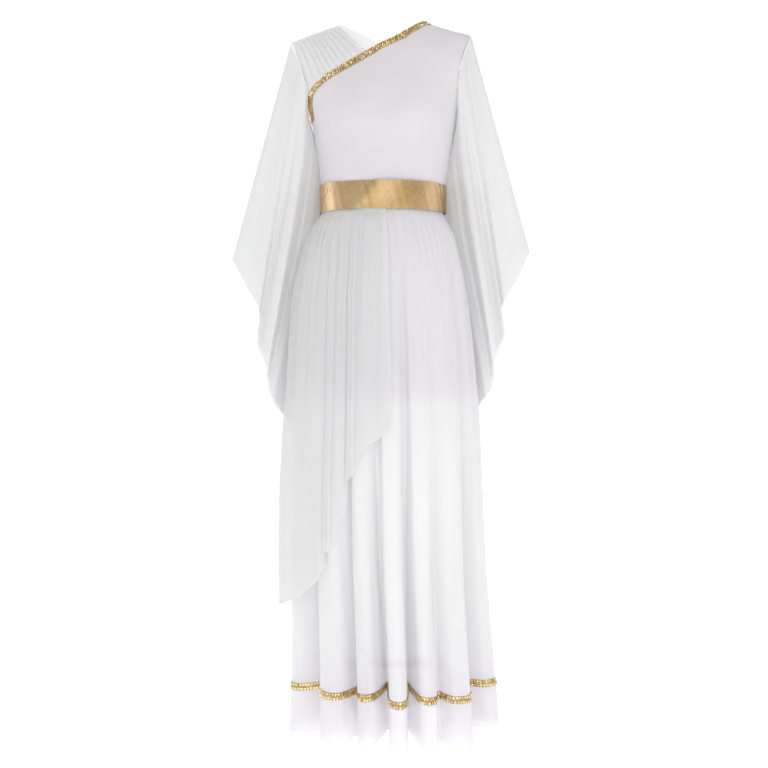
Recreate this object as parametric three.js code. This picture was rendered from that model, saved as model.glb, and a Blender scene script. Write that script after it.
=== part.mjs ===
// A long white goddess dress, filled out as it is when worn, with nobody in it.
// Millimetres, +Z up. The front faces -Y and the wearer's left is +X. The origin is midway
// between the shoulder seams, where the wearer's shoulders carry the dress.
// Angles go round the dress in degrees: 0 is the front, 90 the wearer's left, -90 the right.
import * as THREE from 'three';

const SEAM_GAP = 0.3;
const CLOTH = { chiffon: 1.3, jersey: 1.6, lining: 1.2, braid: 1.4, foil: 1.8 };

const WAIST_SEAM_Z = -345;
const BELT = { top: -313, bottom: -368, proud: 3.6 };
const HEM_Z = -1397;
const HEM_BAND = { top: -1300, bottom: -1314 };

const chiffon = new THREE.MeshStandardMaterial({
  name: 'chiffon', color: 0xe6e6e7, roughness: 0.85, metalness: 0, side: THREE.DoubleSide,
});
const jersey = new THREE.MeshStandardMaterial({ name: 'jersey', color: 0xe8e4e8, roughness: 0.75, metalness: 0 });
const underLayer = new THREE.MeshStandardMaterial({ name: 'lining', color: 0xe9e3e6, roughness: 0.8, metalness: 0 });
const goldFoil = new THREE.MeshStandardMaterial({ name: 'gold_foil', color: 0xc49a5c, roughness: 0.3, metalness: 0.9 });
const goldBraid = new THREE.MeshStandardMaterial({ name: 'gold_braid', color: 0xc9a860, roughness: 0.4, metalness: 0.8 });

const dress = new THREE.Group();
dress.name = 'goddess_dress';

// Tables: a row for each section or fold, read smoothly between the rows and never past them.
function table(columns, rows) {
  return rows.map((row) => Object.fromEntries(columns.map((column, i) => [column, row[i]])));
}

function slopeAt(rows, key, column, i) {
  if (i === 0 || i === rows.length - 1) return 0;
  const before = (rows[i][column] - rows[i - 1][column]) / (rows[i][key] - rows[i - 1][key]);
  const after = (rows[i + 1][column] - rows[i][column]) / (rows[i + 1][key] - rows[i][key]);
  return before * after <= 0 ? 0 : (2 * before * after) / (before + after);
}

function read(rows, key, column, value) {
  const rising = rows[rows.length - 1][key] > rows[0][key];
  const past = (i) => (rising ? value >= rows[i][key] : value <= rows[i][key]);
  if (!past(0)) return rows[0][column];
  if (past(rows.length - 1)) return rows[rows.length - 1][column];
  let i = 0;
  while (past(i + 1)) i += 1;
  const step = rows[i + 1][key] - rows[i][key];
  const t = (value - rows[i][key]) / step;
  const ease = t * t * (3 - 2 * t);
  const start = t * (1 - t) * (1 - t) * step * slopeAt(rows, key, column, i);
  const end = t * t * (1 - t) * step * slopeAt(rows, key, column, i + 1);
  return THREE.MathUtils.lerp(rows[i][column], rows[i + 1][column], ease) + start - end;
}

function spread(from, to, count) {
  return Array.from({ length: count + 1 }, (_, i) => from + ((to - from) * i) / count);
}

// Cloth: a grid of points in rows from the top down, each row running towards the wearer's left
// across the front, becomes one closed wall. The face lies `out` beyond the points and the
// reverse one thickness behind it, and at a fold the step is longer so that the wall stays even.
// A front or back panel ends at the plane of the side and shoulder seams, half a gap short of it.
const LONGEST_MITRE = 2.2;

function gridNormals(grid, closed) {
  const rows = grid.length;
  const count = grid[0].length;
  const faceNormal = (i, j) => {
    const [a, b] = [grid[j][i], grid[j][(i + 1) % count]];
    const [d, c] = [grid[j + 1][i], grid[j + 1][(i + 1) % count]];
    return c.clone().sub(a).cross(b.clone().sub(d)).normalize();
  };
  const touching = (i, j) => {
    const columns = closed ? [(i + count - 1) % count, i] : [i - 1, i].filter((k) => k >= 0 && k < count - 1);
    return [j - 1, j].filter((k) => k >= 0 && k < rows - 1).flatMap((k) => columns.map((m) => faceNormal(m, k)));
  };
  return grid.map((row, j) => row.map((_, i) => {
    const faces = touching(i, j);
    const mean = faces.reduce((sum, face) => sum.add(face), new THREE.Vector3()).normalize();
    const lean = Math.min(...faces.map((face) => face.dot(mean)));
    return mean.multiplyScalar(1 / Math.max(lean, 1 / LONGEST_MITRE));
  }));
}

function wall(name, material, { columns, rows, place, thickness, out = 0, closed = false, side = 'both' }) {
  const grid = rows.map((v) => columns.map((u) => place(u, v)));
  const normals = gridNormals(grid, closed);
  const positions = [];
  for (const distance of [out, out - thickness]) {
    grid.forEach((row, j) => row.forEach((base, i) => {
      const point = base.clone().addScaledVector(normals[j][i], distance);
      if (side === 'front') point.y = Math.min(point.y, -SEAM_GAP / 2);
      if (side === 'back') point.y = Math.max(point.y, SEAM_GAP / 2);
      positions.push(...point.toArray());
    }));
  }
  const count = columns.length;
  const layer = count * rows.length;
  const last = rows.length - 1;
  const face = (i, j) => j * count + (i % count);
  const back = (i, j) => layer + face(i, j);
  const index = [];
  const quad = (a, b, c, d) => index.push(a, b, c, a, c, d);
  const spans = closed ? count : count - 1;
  for (let i = 0; i < spans; i += 1) {
    for (let j = 0; j < last; j += 1) {
      quad(face(i, j), face(i, j + 1), face(i + 1, j + 1), face(i + 1, j));
      quad(back(i, j), back(i + 1, j), back(i + 1, j + 1), back(i, j + 1));
    }
    quad(face(i, 0), face(i + 1, 0), back(i + 1, 0), back(i, 0));
    quad(face(i + 1, last), face(i, last), back(i, last), back(i + 1, last));
  }
  for (let j = 0; j < last && !closed; j += 1) {
    quad(face(0, j + 1), face(0, j), back(0, j), back(0, j + 1));
    quad(face(spans, j), face(spans, j + 1), back(spans, j + 1), back(spans, j));
  }
  const geometry = new THREE.BufferGeometry();
  geometry.setAttribute('position', new THREE.Float32BufferAttribute(positions, 3));
  geometry.setIndex(index);
  geometry.computeVertexNormals();
  const mesh = new THREE.Mesh(geometry, material);
  mesh.name = name;
  dress.add(mesh);
  return mesh;
}

// The form of the dress: how far it reaches to the wearer's right and left, and to the front
// and back, at each height. From the waist down these are the crests of the folds.
const FORM = table(['z', 'right', 'left', 'front', 'back'], [
  [30, -200, 200, 38, 34],
  [-20, -192, 192, 56, 58],
  [-80, -176, 176, 82, 82],
  [-140, -154, 154, 104, 93],
  [-188, -142, 144.5, 112, 94],
  [-228, -135, 137, 106, 90],
  [-270, -128.5, 130.5, 97, 86],
  [BELT.top, -123.5, 123.5, 92.5, 86],
  [WAIST_SEAM_Z, -121, 121, 91, 86.5],
  [BELT.bottom, -121.3, 121.3, 91.3, 86.8],
  [-388, -130, 130, 100, 99],
  [-411, -139, 143, 108, 110],
  [-440, -148, 153, 117, 121],
  [-484, -157, 165, 125, 132],
  [-540, -167, 174, 131, 140],
  [-614, -172, 183, 138, 146],
  [-700, -176, 190, 146, 152],
  [-816, -182, 198, 157, 160],
  [-932, -185, 204, 167, 168],
  [-1060, -186, 210, 177, 176],
  [-1180, -184.5, 219, 185, 184],
  [-1300, -185, 229, 192, 192],
  [HEM_Z, -189, 236, 197, 198],
]);

function form(z) {
  const right = read(FORM, 'z', 'right', z);
  const left = read(FORM, 'z', 'left', z);
  return {
    middle: (right + left) / 2,
    halfWidth: (left - right) / 2,
    front: read(FORM, 'z', 'front', z),
    back: read(FORM, 'z', 'back', z),
  };
}

// A point of the form at an angle, moved inwards by a depth.
function formPoint(degrees, z, inwards = 0) {
  const { middle, halfWidth, front, back } = form(z);
  const turn = THREE.MathUtils.degToRad(degrees);
  const depth = Math.cos(turn) > 0 ? front : back;
  return new THREE.Vector3(
    middle + (halfWidth - inwards) * Math.sin(turn),
    -(depth - inwards) * Math.cos(turn),
    z,
  );
}

// Above the waist the body rolls in to the shoulder line, with a soft fullness for the bust.
const SHOULDER_ROLL = 75;
const BUST = { apart: 74, z: -168, wide: 46, high: 48, full: 9 };

const SHOULDER_LINE = table(['x', 'z'], [
  [-200, -34],
  [-183, -26],
  [-146, -11],
  [-88, 9],
  [0, 30],
  [84, 17],
  [98, 11],
  [175, -11],
  [200, -18],
]);

function shoulderHeight(x) {
  return read(SHOULDER_LINE, 'x', 'z', x);
}

function bust(x, z) {
  const swell = (middle) => Math.exp(-(((x - middle) / BUST.wide) ** 2) - ((z - BUST.z) / BUST.high) ** 2);
  return BUST.full * (swell(-BUST.apart) + swell(BUST.apart));
}

// side is 'front' or 'back'. x may be anywhere on the body's width at that height.
function bodyPoint(x, z, side) {
  const { middle, halfWidth, front, back } = form(z);
  const across = Math.min(Math.abs((x - middle) / halfWidth), 1);
  const round = Math.sqrt(1 - across ** 2);
  const drop = THREE.MathUtils.clamp((shoulderHeight(x) - z) / SHOULDER_ROLL, 0, 1);
  const roll = Math.sqrt(1 - (1 - drop) ** 2);
  const depth = side === 'front' ? front + bust(x, z) : back;
  const y = depth * round * roll;
  return new THREE.Vector3(x, side === 'front' ? -y : y, z);
}

// Across a panel the points are spaced by angle from its right edge to its left one.
function acrossBody(u, z, rightEdge, leftEdge, side) {
  const { middle, halfWidth } = form(z);
  const angleOf = (x) => Math.asin(THREE.MathUtils.clamp((x - middle) / halfWidth, -1, 1));
  const turn = THREE.MathUtils.lerp(angleOf(rightEdge), angleOf(leftEdge), u);
  return bodyPoint(middle + halfWidth * Math.sin(turn), z, side);
}

// A back panel is worked like a front one, so its columns run the other way round.
function columnsFor(side, columns) {
  return side === 'front' ? columns : [...columns].reverse();
}

// The neckline runs down from the wearer's left shoulder, over the chest, and under the right
// arm. The back has the same line.
const SHOULDER_TOP_Z = 16.5;
const UNDERARM_Z = -188;
const ARMHOLE_TOP_Z = -14;

const NECKLINE = table(['z', 'x'], [
  [SHOULDER_TOP_Z, 79],
  [4, 63.5],
  [-12, 42],
  [-24, 25],
  [-36, 3.5],
  [-48, -17.5],
  [-62, -39],
  [-78, -66],
  [-94, -94],
  [-106, -115],
  [-118, -132],
  [-130, -143.5],
  [-140, -148.5],
  [-152, -149],
  [-170, -145.5],
  [UNDERARM_Z, -142],
]);

// The wearer's left edge of the bodice: the shoulder seam, the armhole and the side seam.
const LEFT_EDGE = table(['z', 'x'], [
  [SHOULDER_TOP_Z, 86],
  [10.5, 98],
  [-3.5, 144],
  [-12, 174.5],
  [-30, 167],
  [-52, 159],
  [-88, 150],
  [-126, 146.5],
  [-160, 146.5],
  [UNDERARM_Z, 144.5],
]);

// Bodice: a plain jersey front and back, cut on the slant at the neck. Its first columns follow
// the neck edge at the width of the braid, and the others spread over the rest of the body.
const BODICE_ROWS = [SHOULDER_TOP_Z, 11, 3, -8, -20, -34, -50, -68, -88, -106, -122, -138, -154, -172, UNDERARM_Z,
  -212, -244, -278, BELT.top, WAIST_SEAM_Z + SEAM_GAP];
const NECK_BRAID = { wide: 13, narrow: 6, narrowFrom: -120, shoulderShare: 0.8, columns: [-1, -0.5, 0] };

// How far the braid reaches across a row, which grows where the edge slants.
function braidAcross(z, rowWidth) {
  const slim = THREE.MathUtils.smoothstep(-z, -NECK_BRAID.narrowFrom, -UNDERARM_Z);
  const width = THREE.MathUtils.lerp(NECK_BRAID.wide, NECK_BRAID.narrow, slim);
  const slant = (read(NECKLINE, 'z', 'x', z + 2) - read(NECKLINE, 'z', 'x', z - 2)) / 4;
  return Math.min(width * Math.hypot(1, slant), NECK_BRAID.shoulderShare * rowWidth);
}

// The front and the back meet in the seam along the wearer's left shoulder.
const SHOULDER_SEAM = { drop: 1.6, opensOver: 3.4, off: CLOTH.jersey + 0.3 };

function meetAtShoulder(point, side) {
  const { drop, opensOver, off } = SHOULDER_SEAM;
  const below = shoulderHeight(point.x) - point.z;
  const open = THREE.MathUtils.smoothstep(below, drop, drop + opensOver);
  if (open < 1) {
    const y = Math.max(Math.abs(point.y) * open, off);
    point.y = side === 'front' ? -y : y;
  }
  return point;
}

// u runs from -1 to 0 over the braid's place at the neck edge and from 0 to 1 over the rest.
function bodicePoint(u, z, side) {
  const { middle, halfWidth } = form(z);
  const belowArm = z < UNDERARM_Z;
  const rightEdge = belowArm ? middle - halfWidth : read(NECKLINE, 'z', 'x', z);
  const leftEdge = belowArm ? middle + halfWidth : read(LEFT_EDGE, 'z', 'x', z);
  const braidEdge = rightEdge + braidAcross(Math.max(z, UNDERARM_Z), leftEdge - rightEdge);
  const point = u < 0
    ? acrossBody(u + 1, z, rightEdge, braidEdge, side)
    : acrossBody(u, z, braidEdge, leftEdge, side);
  return z > ARMHOLE_TOP_Z ? meetAtShoulder(point, side) : point;
}

function bodice(side) {
  wall(`bodice_${side}`, jersey, {
    side,
    columns: columnsFor(side, [...NECK_BRAID.columns.slice(0, -1), ...spread(0, 1, 14)]),
    rows: BODICE_ROWS,
    thickness: CLOTH.jersey,
    place: (u, z) => bodicePoint(u, z, side),
  });
}
bodice('front');
bodice('back');

// Neckline trim: a braid of gold sequins and beads laid on the bodice along the slanted neck,
// narrowing where it turns under the arm.
function necklineTrim(side) {
  wall(`neckline_trim_${side}`, goldBraid, {
    side,
    columns: columnsFor(side, NECK_BRAID.columns),
    rows: BODICE_ROWS.filter((z) => z >= UNDERARM_Z),
    thickness: CLOTH.braid,
    out: SEAM_GAP + CLOTH.braid,
    place: (u, z) => bodicePoint(u, z, side),
  });
}
necklineTrim('front');
necklineTrim('back');

// Shoulder drape: fine pleats of chiffon over the wearer's right shoulder, from the shoulder
// seam down to the braid. Its neck edge runs straight to the point of the neck.
const PLEATS = { count: 10, first: 0.04, last: 0.9, deep: 2.6 };
const DRAPE_TOP = { shoulder: [-182, -25.5], neck: [-88, 9] };
const DRAPE_FOOT = table(['u', 'z'], [
  [0, -136],
  [0.18, -112],
  [0.39, -97],
  [0.62, -81],
  [0.85, -61],
  [1, -43],
]);
const DRAPE_ARM_EDGE = { hollow: 3 };

function shoulderDrape(side) {
  const { count, first, last, deep } = PLEATS;
  const pleat = (u) => {
    const place = ((u - first) / (last - first)) * count;
    return place <= 0 || place >= count ? 0 : deep * (1 - Math.abs(2 * (place % 1) - 1));
  };
  const pleatColumns = spread(0, count, count * 3).map((k) => first + ((last - first) * k) / count);
  wall(`shoulder_drape_${side}`, chiffon, {
    side,
    columns: columnsFor(side, [0, ...pleatColumns, 0.95, 1]),
    rows: spread(0, 1, 4),
    thickness: CLOTH.chiffon,
    place: (u, v) => {
      const top = new THREE.Vector2(...DRAPE_TOP.shoulder).lerp(new THREE.Vector2(...DRAPE_TOP.neck), u);
      top.y = shoulderHeight(top.x) - SEAM_GAP;
      const footZ = read(DRAPE_FOOT, 'u', 'z', u);
      const foot = new THREE.Vector2(read(NECKLINE, 'z', 'x', footZ) - 1.2, footZ + 1);
      const point = top.lerp(foot, v);
      point.x += DRAPE_ARM_EDGE.hollow * Math.sin(Math.PI * v) * (1 - u) ** 3;
      const lift = pleat(u) * Math.min(1, 6 * v, 3 * (1 - v) + 0.3);
      const onBody = bodyPoint(point.x, point.y, side);
      onBody.y += side === 'front' ? -lift : lift;
      return onBody;
    },
  });
}
shoulderDrape('front');
shoulderDrape('back');

// Belt: a stiff band of gold foil cloth over the waist seam.
wall('belt', goldFoil, {
  columns: spread(-180, 180, 56).slice(0, -1),
  rows: [BELT.top, BELT.bottom],
  thickness: CLOTH.foil,
  closed: true,
  place: (degrees, z) => formPoint(degrees, WAIST_SEAM_Z, -BELT.proud - CLOTH.foil).setZ(z),
});

// Skirt: a long front and back of gathered chiffon. The fine gathers under the belt die out over
// the hips, and the cloth opens into deep round flutes at the hem.
// How deep the gathers and the flutes are at each height, and how far the valleys lift.
const FULLNESS = table(['z', 'gather', 'flute', 'lift'], [
  [WAIST_SEAM_Z, 1.2, 0, 0],
  [BELT.bottom, 2, 0.5, 0],
  [-390, 3.3, 1, 0],
  [-425, 3.3, 2, 0],
  [-480, 2.2, 3.5, 0],
  [-560, 1.2, 6.5, 0],
  [-660, 0.5, 10.5, 0],
  [-780, 0, 18, 1],
  [-920, 0, 34, 3],
  [-1070, 0, 56, 7],
  [-1200, 0, 74, 13],
  [HEM_BAND.top, 0, 86, 18],
  [HEM_BAND.bottom, 0, 87.5, 18.5],
  [HEM_Z, 0, 95, 22],
]);
const SKIRT_ROWS = FULLNESS.map((row) => row.z);

// Each flute has a crest, and a valley on its left with a share of the full depth. The hem of
// its crest rises by a share of the lift of a full valley, so the flutes end unevenly.
const FLUTES = table(['crest', 'valley', 'depth', 'rise'], [
  [-78, -54, 1, 0.25],
  [-34, -24.5, 1, 0.45],
  [-15.5, -6, 1, 0.6],
  [3.5, 12, 1, -0.1],
  [19, 29, 0.4, 0.25],
  [43, 59, 1, 0],
  [76, 90, 1, 0.85],
  [106, 120, 0.9, 0.5],
  [133, 146, 1, 0.1],
  [158, 170, 0.8, 0.4],
  [182, 194.5, 1, 0],
  [207, 219.5, 0.9, 0.45],
  [232, 244, 1, 0.1],
  [256, 270, 1, 0.3],
]);
const FULL_TURN = 360;

// Across one flute, from valley to valley: its near edge stands up steeply out of the valley, the
// crest is broad and round, and the far flank falls back slowly.
const FLUTE_SECTION = table(['place', 'depth'], [
  [0.03, 1],
  [0.09, 0.58],
  [0.18, 0.13],
  [0.46, 0],
  [0.68, 0.14],
  [0.82, 0.54],
  [0.94, 1],
]);

// The columns of the skirt: where each lies, its share of the fold's depth, its rise, and whether
// the fine gather goes in there.
const skirtColumns = FLUTES.flatMap((flute, k) => {
  const before = FLUTES[(k + FLUTES.length - 1) % FLUTES.length];
  const start = before.valley - (k === 0 ? FULL_TURN : 0);
  return FLUTE_SECTION.map(({ place, depth }, i) => {
    const rising = place <= 0.5;
    const degrees = rising
      ? THREE.MathUtils.lerp(start, flute.crest, place * 2)
      : THREE.MathUtils.lerp(flute.crest, flute.valley, place * 2 - 1);
    const foldDepth = depth * (rising ? before.depth : flute.depth);
    return { degrees, depth: foldDepth, rise: flute.rise * (1 - depth), gather: (i + k) % 2 };
  });
});

// Each side seam falls in a valley, so a panel ends with a column at the bottom of one.
function panelColumns(side) {
  const half = skirtColumns.length / 2;
  const columns = side === 'front' ? skirtColumns.slice(0, half) : skirtColumns.slice(half);
  const start = side === 'front' ? -90 : 90;
  const atSeam = { depth: 1, rise: 0, gather: 0.5 };
  return [{ degrees: start, ...atSeam }, ...columns, { degrees: start + 180, ...atSeam }];
}

function skirtPoint(column, z) {
  const fold = read(FULLNESS, 'z', 'flute', z) * column.depth;
  const gather = read(FULLNESS, 'z', 'gather', z) * column.gather;
  const point = formPoint(column.degrees, z, fold + gather);
  point.z += read(FULLNESS, 'z', 'lift', z) * (column.depth + column.rise);
  return point;
}

function skirt(side) {
  wall(`skirt_${side}`, chiffon, {
    side,
    columns: panelColumns(side),
    rows: SKIRT_ROWS,
    thickness: CLOTH.chiffon,
    place: skirtPoint,
  });
}
skirt('front');
skirt('back');

// Hem trim: a narrow band of gold sequins sewn round the skirt above the hem, in and out of the
// flutes.
function hemTrim(side) {
  wall(`hem_trim_${side}`, goldBraid, {
    side,
    columns: panelColumns(side),
    rows: [HEM_BAND.top, HEM_BAND.bottom],
    thickness: CLOTH.braid,
    out: SEAM_GAP + CLOTH.braid,
    place: skirtPoint,
  });
}
hemTrim('front');
hemTrim('back');

// Short lining: a plain straight under-layer that hangs inside the skirt to the thigh.
const LINING = { bottom: -740, clear: 4.5, columns: 18, rows: [WAIST_SEAM_Z, BELT.bottom, -420, -540] };

function lining(side) {
  const start = side === 'front' ? -90 : 90;
  wall(`lining_${side}`, underLayer, {
    side,
    columns: spread(start, start + 180, LINING.columns),
    rows: [...LINING.rows, LINING.bottom],
    thickness: CLOTH.lining,
    place: (degrees, z) => {
      const taken = read(FULLNESS, 'z', 'flute', z) + read(FULLNESS, 'z', 'gather', z);
      return formPoint(degrees, z, taken + CLOTH.chiffon + LINING.clear);
    },
  });
}
lining('front');
lining('back');

// Overlay: a half skirt of chiffon from the middle of the front, round the wearer's right, to the
// middle of the back. Its hem falls in a cascade to a long point at the side.
// Each row is a place round the dress: how far the cloth stands off the skirt, its share of the
// lean under the belt, and its hem in front. The back is its mirror image but for its hem.
const OVERLAY_FRONT = table(['degrees', 'proud', 'lean', 'hem', 'backHem'], [
  [-88, 20, 0.05, -1147, -1149],
  [-78, 21, 0.25, -1142, -1153],
  [-66, 20, 0.5, -1131, -1151],
  [-56, 18, 0.7, -1119, -1138],
  [-48, 16, 0.85, -1103, -1118],
  [-42, 12, 0.95, -1087, -1094],
  [-38, 8, 1, -1065, -1066],
  [-35.5, 2.5, 1, -1042, -1050],
  [-34, 10, 1, -1028, -1030],
  [-30, 12, 0.85, -1016, -1012],
  [-26.5, 10, 0.6, -970, -980],
  [-24, 7, 0.45, -952, -955],
  [-22, 2.5, 0.4, -928, -936],
  [-20.5, 10, 0.35, -890, -915],
  [-17.5, 13, 0.25, -875, -889],
  [-15.5, 14, 0.2, -853, -862],
  [-11, 15, 0.1, -829, -846],
  [-6, 12, 0.03, -815, -830],
  [-1, 7, 0, -803, -815],
  [2.5, 3, 0, -797, -806],
]);
// How far the two laps of the overlay lean out towards the side under the belt, in degrees.
const OVERLAY_LEAN = table(['z', 'degrees'], [
  [BELT.bottom, -9],
  [-388, -8],
  [-440, -4],
  [-484, -2.2],
  [-540, -1.2],
  [-700, -0.3],
  [-816, 0],
]);
const OVERLAY_GROWTH = table(['z', 'share'], [
  [BELT.bottom, 0],
  [-400, 0.25],
  [-440, 0.4],
  [-540, 0.55],
  [-700, 0.7],
  [-816, 0.85],
  [-932, 1],
  [HEM_Z, 1],
]);
const OVERLAY = { clear: 2.3, closing: 1.3, down: [-1, 0, 0.06, 0.13, 0.25, 0.38, 0.52, 0.68, 0.84, 1] };

function overlay(side) {
  const columns = side === 'front'
    ? OVERLAY_FRONT
    : OVERLAY_FRONT.map((row) => ({ ...row, hem: row.backHem })).reverse();
  const seam = { ...OVERLAY_FRONT[0], degrees: -90, lean: 0 };
  wall(`overlay_${side}`, chiffon, {
    side,
    columns: side === 'front' ? [seam, ...columns] : [...columns, seam],
    rows: OVERLAY.down,
    thickness: CLOTH.chiffon,
    place: (column, down) => {
      const z = down < 0
        ? WAIST_SEAM_Z - 1
        : THREE.MathUtils.lerp(BELT.bottom - 1, column.hem, down ** OVERLAY.closing);
      const proud = column.proud * read(OVERLAY_GROWTH, 'z', 'share', z);
      const degrees = column.degrees + column.lean * read(OVERLAY_LEAN, 'z', 'degrees', z);
      return formPoint(side === 'front' ? degrees : -180 - degrees, z, -OVERLAY.clear - proud);
    },
  });
}
overlay('front');
overlay('back');

// Sleeves: each a large piece of chiffon folded along its top edge, sewn round the armhole and
// open along its waved hem. It hangs a little behind the dress, so its inner part passes behind
// the side of the bodice and the skirt.
// The hem from the wrist corner to the low point: how far out, how high and how far back it is.
const SLEEVE_HEM_RIGHT = table(['along', 'x', 'z', 'y'], [
  [0, -303, -457, 20],
  [0.13, -276, -508, 14],
  [0.26, -248, -562, 10],
  [0.33, -246, -582, 24],
  [0.42, -252, -617, 14],
  [0.52, -244, -650, 34],
  [0.6, -231, -684, 22],
  [0.7, -231, -716, 42],
  [0.78, -223, -738, 40],
  [0.89, -203, -770, 60],
  [1, -176, -802, 78],
]);
const SLEEVE_HEM_LEFT = table(['along', 'x', 'z', 'y'], [
  [0, 295, -441, 20],
  [0.12, 275, -486, 14],
  [0.24, 244, -540, 12],
  [0.31, 237, -562, 26],
  [0.4, 243, -602, 14],
  [0.5, 232, -642, 34],
  [0.58, 221, -675, 24],
  [0.68, 222, -708, 42],
  [0.77, 209, -730, 40],
  [0.88, 196, -750, 60],
  [1, 176, -786, 78],
]);
// The wearer's right armhole follows the arm edge of the pleated drape and then the braid.
const ARMHOLE_RIGHT = table(['z', 'x'], [
  [-26.5, -182.3],
  [-67, -164.5],
  [-98, -155],
  [-126, -148.5],
  [-150, -147.5],
  [-170, -144.5],
  [UNDERARM_Z, -142.5],
]);
const ARMHOLE_LEFT = LEFT_EDGE.filter((row) => row.z <= -12);

// How the underarm edge swings in and back on its way down, behind the side of the body.
const SLEEVE_SWING = table(['down', 'inwards', 'back'], [
  [0, 0, 0],
  [0.04, 12, 16],
  [0.09, 26, 30],
  [0.15, 36, 42],
  [0.22, 42, 50],
  [0.4, 40, 56],
  [0.65, 20, 46],
  [1, 0, 0],
]);
const SLEEVE_DOWN = [0, 0.04, 0.09, 0.15, 0.22, 0.32, 0.45, 0.6, 0.75, 0.89, 1];
const SLEEVE = { perLayer: 18, apart: 50, swingFrom: 0.4, clear: 3.5, off: 0.4 };

// Keeps a point of the sleeve outside the bodice, belt, skirt and overlay.
function pushClear(point, clear) {
  const { middle, halfWidth, front, back } = form(point.z);
  const overlayHere = point.x < middle ? 21 * read(OVERLAY_GROWTH, 'z', 'share', point.z) : 0;
  const underBelt = point.z < BELT.top + 6 && point.z > BELT.bottom - 20 ? BELT.proud + CLOTH.foil : 0;
  const room = clear + Math.max(overlayHere, underBelt);
  const wide = halfWidth + room;
  const deep = (point.y < 0 ? front : back) + room;
  const reach = Math.hypot((point.x - middle) / wide, point.y / deep);
  if (reach >= 1) return point;
  return new THREE.Vector3(middle + (point.x - middle) / reach, point.y / reach, point.z);
}

function armholePoint(armhole, along, layer, lap) {
  const [top, bottom] = [armhole[0].z, armhole[armhole.length - 1].z];
  const z = THREE.MathUtils.lerp(top, bottom, (1 - Math.cos(Math.PI * along)) / 2);
  const x = read(armhole, 'z', 'x', z);
  const step = 1;
  const at = bodyPoint(x, z, layer);
  const inner = Math.abs(x) - step;
  const acrossStep = bodyPoint(Math.sign(x) * inner, z, layer).sub(at);
  const downStep = bodyPoint(x, z - step, layer).sub(at);
  const normal = downStep.cross(acrossStep).normalize();
  if (normal.dot(new THREE.Vector3(x, 0, 0)) < 0) normal.negate();
  at.addScaledVector(normal, lap);
  at.x += Math.sign(x) * SLEEVE.off;
  return at;
}

function sleeve(name, armhole, hem, lap) {
  const outward = Math.sign(hem[0].x);
  const layerPoint = (along, layer, down) => {
    const seamLap = LAP + (lap - LAP) * THREE.MathUtils.smoothstep(along, 0.3, 0.6);
    const top = armholePoint(armhole, along, layer, seamLap);
    const spreadApart = SLEEVE.apart * Math.sin(Math.PI * along) ** 0.6 / 2;
    const foot = new THREE.Vector3(
      read(hem, 'along', 'x', along),
      read(hem, 'along', 'y', along) + (layer === 'front' ? -spreadApart : spreadApart),
      read(hem, 'along', 'z', along),
    );
    const point = top.lerp(foot, down);
    const swing = THREE.MathUtils.smoothstep(along, SLEEVE.swingFrom, 1);
    point.x -= outward * swing * read(SLEEVE_SWING, 'down', 'inwards', down);
    point.y += swing * read(SLEEVE_SWING, 'down', 'back', down);
    if (point.z > UNDERARM_Z + 20) return point;
    return pushClear(point, lap + (SLEEVE.clear - lap) * Math.min(1, down * 10));
  };
  const steps = spread(0, 1, SLEEVE.perLayer);
  const frontWay = steps.slice(0, -1).map((along) => [along, 'front']);
  const backWay = [...steps].reverse().slice(0, -1).map((along) => [along, 'back']);
  const loop = [...frontWay, ...backWay];
  wall(name, chiffon, {
    columns: outward < 0 ? loop : loop.reverse(),
    rows: SLEEVE_DOWN,
    thickness: CLOTH.chiffon,
    closed: true,
    place: ([along, layer], down) => layerPoint(along, layer, down),
  });
}
const LAP = SEAM_GAP + CLOTH.chiffon + 0.2;
sleeve('sleeve_right', ARMHOLE_RIGHT, SLEEVE_HEM_RIGHT, LAP + CLOTH.braid + SEAM_GAP);
sleeve('sleeve_left', ARMHOLE_LEFT, SLEEVE_HEM_LEFT, LAP);

export default dress;
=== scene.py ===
import math
import bpy
import numpy as np
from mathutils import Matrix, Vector


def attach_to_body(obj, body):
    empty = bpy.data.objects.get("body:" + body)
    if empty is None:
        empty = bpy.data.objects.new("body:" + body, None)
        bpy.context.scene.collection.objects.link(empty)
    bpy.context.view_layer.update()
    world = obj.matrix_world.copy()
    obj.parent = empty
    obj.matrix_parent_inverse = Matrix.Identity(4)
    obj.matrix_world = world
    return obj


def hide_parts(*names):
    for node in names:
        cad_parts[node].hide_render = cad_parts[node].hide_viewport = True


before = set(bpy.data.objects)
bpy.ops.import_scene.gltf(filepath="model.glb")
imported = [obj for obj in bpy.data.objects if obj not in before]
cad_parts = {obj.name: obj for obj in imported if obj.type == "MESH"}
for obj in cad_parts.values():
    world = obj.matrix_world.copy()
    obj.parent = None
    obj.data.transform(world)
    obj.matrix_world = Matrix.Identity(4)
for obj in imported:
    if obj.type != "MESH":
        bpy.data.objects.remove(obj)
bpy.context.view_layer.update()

# Bodice: a plain front and back of smooth white jersey, sewn together at the wearer's left
# shoulder and down both sides. FORM gives the widths and depths that the whole gown fills out at
# each height, in millimetres, so that the skirt hangs from the same body.
MM = 0.001
FACING = {"front": -1, "back": 1}
UNDERARM = -188
SHOULDER_ROLL = 75
BUST = {"x": 74, "height": -168, "width": 46, "length": 48, "swell": 9}
BRAID_WIDTH = {"neck": 13, "underarm": 6}
SHOULDER_SEAM = {"above": -14, "start": 1.6, "end": 5, "off": 1.3}
UNDER_BRAID = 0.06


def named_rows(names, rows):
    return {name: np.array([row[i] for row in rows], float) for i, name in enumerate(names.split())}


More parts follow.
